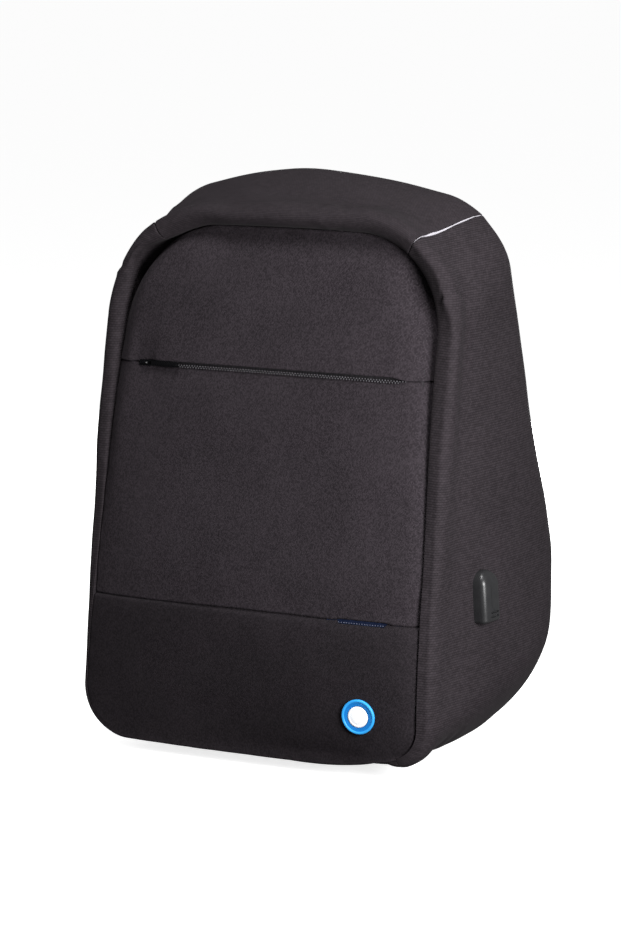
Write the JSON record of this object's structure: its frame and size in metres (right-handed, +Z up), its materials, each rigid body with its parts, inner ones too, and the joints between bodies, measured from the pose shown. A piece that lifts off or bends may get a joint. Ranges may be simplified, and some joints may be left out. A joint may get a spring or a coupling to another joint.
{
  "type": "laptop backpack",
  "caption": "Charcoal fabric laptop backpack with a wedge-shaped shell, framed front panel, zipped front pocket, low slip pocket, side port housing and a flat base to stand on.",
  "frame": {"origin": "on the floor under the middle of the bag's footprint box", "axes": "+Z up, -Y towards the viewer of the front panel, +X towards the side with the port housing"},
  "size_m": [0.3212, 0.2033, 0.4196],
  "materials": {
    "panel_cloth": "fine charcoal twill weave, matt",
    "band_cloth": "fine ribbed charcoal weave, matt",
    "back_cloth": "dark open mesh over foam",
    "strap_cloth": "padded charcoal cloth",
    "webbing": "woven black webbing",
    "zip_tape": "black woven tape",
    "zip_coil": "grey nylon coil",
    "black_metal": "satin black lacquer",
    "lining": "navy plain-weave lining",
    "reflective": "silver-grey reflective piping",
    "housing_plastic": "fine textured charcoal moulding",
    "badge_blue": "soft moulded blue",
    "badge_white": "soft moulded white"
  },
  "bodies": {
    "bag": {"front_panel_upper": "panel_cloth", "front_panel_main": "panel_cloth", "front_panel_lower": "panel_cloth", "gusset_top": "band_cloth", "gusset_left": "band_cloth", "gusset_right": "band_cloth", "gusset_base": "band_cloth", "back_panel": "back_cloth", "zip_tape": "zip_tape", "zip_coil": "zip_coil", "zip_slider": "black_metal", "pocket_lining": "lining", "reflective_strip_left": "reflective", "reflective_strip_right": "reflective", "usb_housing": "housing_plastic", "badge_disc": "badge_blue", "badge_centre": "badge_white", "shoulder_strap_left": "strap_cloth", "shoulder_strap_right": "strap_cloth", "grab_handle": "webbing"},
    "puller": {"zip_puller": "black_metal"}
  },
  "joints": [
    {"name": "puller_swing", "type": "hinge", "parent": "bag", "child": "puller", "pos_m": [-0.10205, -0.06817, 0.28246], "axis": [-0.0147, -0.2074, -0.9781], "range_deg": [0, 150]}
  ]
}
